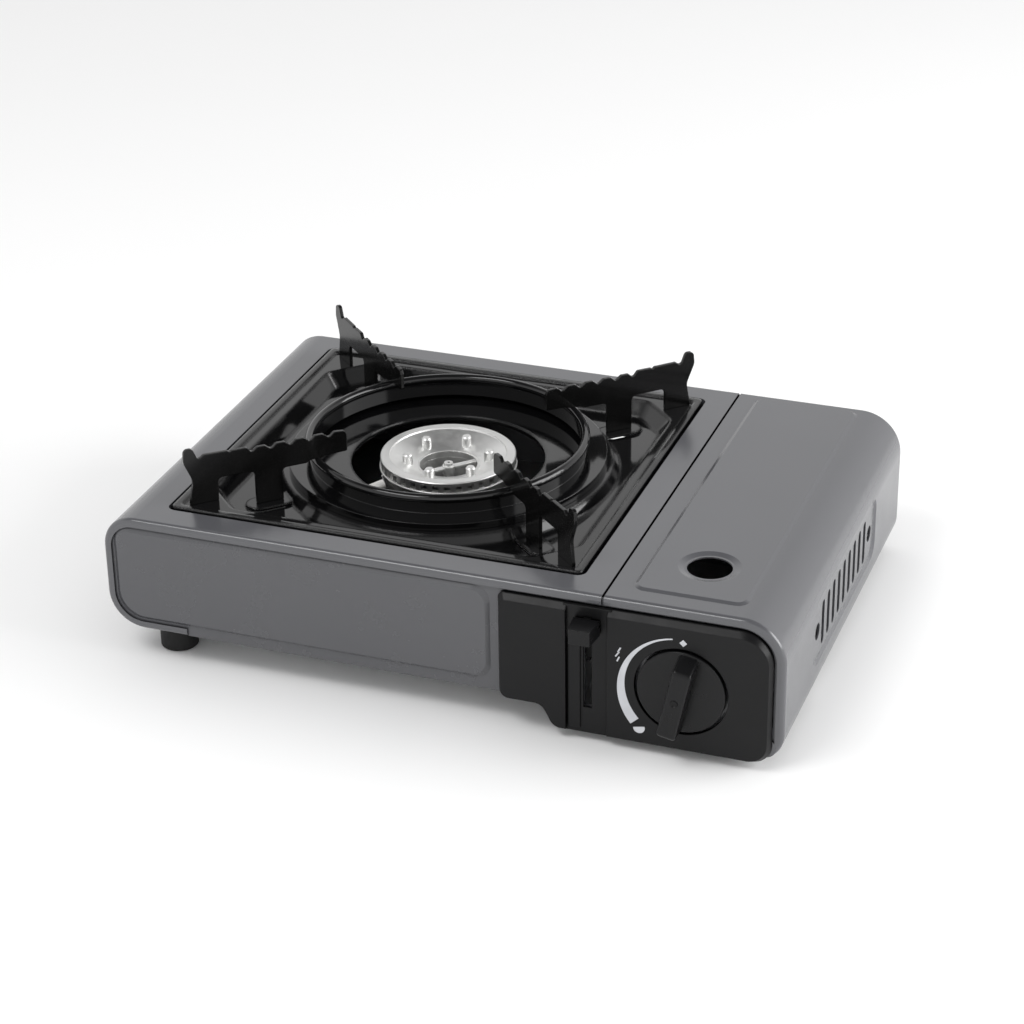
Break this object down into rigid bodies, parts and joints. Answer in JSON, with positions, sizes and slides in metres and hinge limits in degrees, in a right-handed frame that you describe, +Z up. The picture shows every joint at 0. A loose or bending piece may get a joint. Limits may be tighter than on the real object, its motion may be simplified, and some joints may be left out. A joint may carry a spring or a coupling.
{
  "type": "butane cassette stove",
  "caption": "Low rectangular gas stove with a side lid over the cartridge bay, round burner in an enamel drip pan, notched pot support arms, control knob and lock lever.",
  "frame": {"origin": "centre of the bounding box's base, on the floor under the feet", "axes": "+X to the right along the front, where the cartridge bay is, +Y to the back, +Z up"},
  "size_m": [0.35, 0.2536, 0.1088],
  "materials": {
    "body_paint": "satin, fine texture",
    "panel_paint": "satin",
    "plain_steel": "zinc plated",
    "control_plastic": "matte",
    "knob_plastic": "matte",
    "enamel": "gloss enamel",
    "burner_metal": "turned",
    "tube_steel": "plated",
    "brass": "satin",
    "cast_zinc": "die cast",
    "screw_steel": "plated",
    "seal_rubber": "matte",
    "piezo_plastic": "smooth",
    "porcelain": "glazed",
    "lead_sleeve": "woven sleeve",
    "heat_alloy": "rolled",
    "foot_rubber": "matte"
  },
  "bodies": {
    "body": {"body_shell": "body_paint", "front_panel": "panel_paint", "rear_panel": "panel_paint", "base_plate": "plain_steel", "bay_divider": "plain_steel", "control_panel": "control_plastic", "hinge_pins": "plain_steel", "burner_head": "burner_metal", "burner_bowl": "burner_metal", "burner_centre": "burner_metal", "burner_bracket": "plain_steel", "mixing_tube": "tube_steel", "tube_saddle": "plain_steel", "gas_jet": "brass", "regulator_body": "cast_zinc", "regulator_cover": "cast_zinc", "regulator_screws": "screw_steel", "inlet_socket": "brass", "inlet_seal": "seal_rubber", "piezo_body": "piezo_plastic", "igniter_clip": "plain_steel", "electrode_insulator": "porcelain", "electrode_wire": "screw_steel", "electrode_bracket": "plain_steel", "ignition_lead": "lead_sleeve", "stop_plate": "plain_steel", "carriage_guides": "screw_steel", "cradle_rails": "plain_steel", "heat_plate": "heat_alloy", "foot_screws": "screw_steel", "panel_screws": "screw_steel", "base_screws": "screw_steel", "tall_feet": "foot_rubber", "short_feet": "foot_rubber"},
    "lid": {"lid_cover": "body_paint"},
    "pan": {"drip_pan": "enamel", "support_ring": "enamel", "support_arm_back_right": "enamel", "support_arm_back_left": "enamel", "support_arm_front_left": "enamel", "support_arm_front_right": "enamel"},
    "knob_set": {"knob": "knob_plastic", "spindle": "screw_steel", "ignition_cam": "control_plastic"},
    "plunger": {"igniter_plunger": "screw_steel"},
    "lever": {"lever_tab": "knob_plastic", "lever_plate": "plain_steel"},
    "carriage": {"carriage": "plain_steel"}
  },
  "joints": [
    {"name": "lid_hinge", "type": "hinge", "parent": "body", "child": "lid", "pos_m": [0.1666, 0, 0.01217], "axis": [0, 1, 0], "range_deg": [0, 90]},
    {"name": "knob_turn", "type": "hinge", "parent": "body", "child": "knob_set", "pos_m": [0.1262, -0.11135, 0.0371], "axis": [0, 1, 0], "range_deg": [-150, 0]},
    {"name": "plunger_slide", "type": "slide", "parent": "body", "child": "plunger", "axis": [0, 0, 1], "range_m": [0, 0.0041]},
    {"name": "lever_slide", "type": "slide", "parent": "body", "child": "lever", "axis": [0, 0, -1], "range_m": [0, 0.026]},
    {"name": "carriage_slide", "type": "slide", "parent": "body", "child": "carriage", "axis": [0, -1, 0], "range_m": [0, 0.0061]},
    {"name": "pan_lift", "type": "slide", "parent": "body", "child": "pan", "axis": [0, 0, 1], "range_m": [0, 0.06]}
  ],
  "couplings": [
    {"joint": "plunger_slide", "follows": "knob_turn", "m_per_rad": -0.0015279},
    {"joint": "carriage_slide", "follows": "lever_slide", "ratio": 0.23077}
  ]
}
